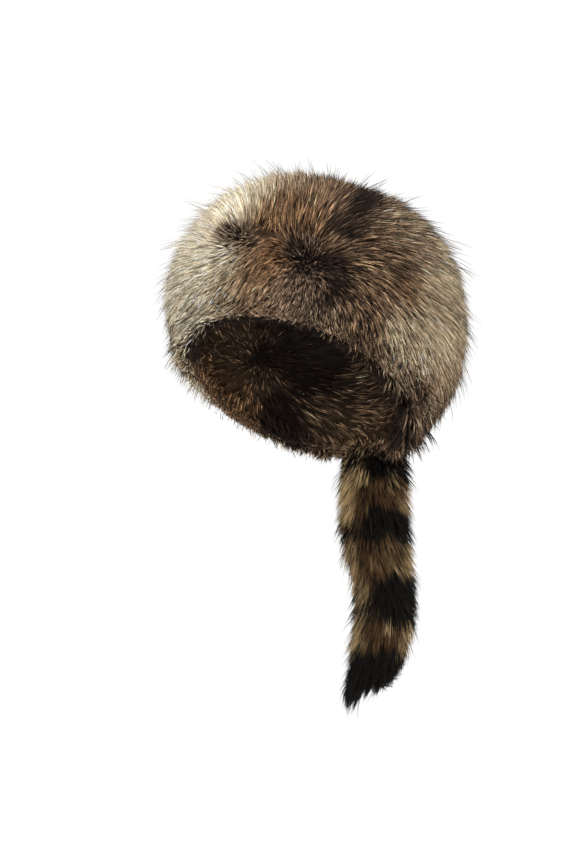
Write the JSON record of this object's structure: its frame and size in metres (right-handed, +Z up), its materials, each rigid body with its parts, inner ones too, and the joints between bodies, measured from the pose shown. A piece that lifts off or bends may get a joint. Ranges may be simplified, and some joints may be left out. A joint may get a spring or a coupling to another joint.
{
  "type": "coonskin cap",
  "caption": "Round fur cap with a hollow leather crown, deep mottled fur and a ringed fur tail hanging from the back of its hem.",
  "frame": {"origin": "middle of the head opening, in the plane of the hem, where the cap sits on a head", "axes": "+Z up as the cap is worn, +X to the wearer's left, -Y to the wearer's front; the crown leans back 25 degrees and the tail hangs straight down"},
  "size_m": [0.256, 0.2782, 0.4623],
  "materials": {
    "pelt_leather": "matt skin side of a tanned pelt",
    "crown_fur": "deep natural fur, grey-brown with cream and near-black patches",
    "inside_fur": "short dark brown fur",
    "tail_fur": "bushy fur in tan and near-black rings"
  },
  "bodies": {
    "root": {"crown_pelt": "pelt_leather", "crown_fur": "crown_fur", "inside_fur": "inside_fur", "tail_pelt": "pelt_leather", "tail_fur": "tail_fur"}
  },
  "joints": []
}
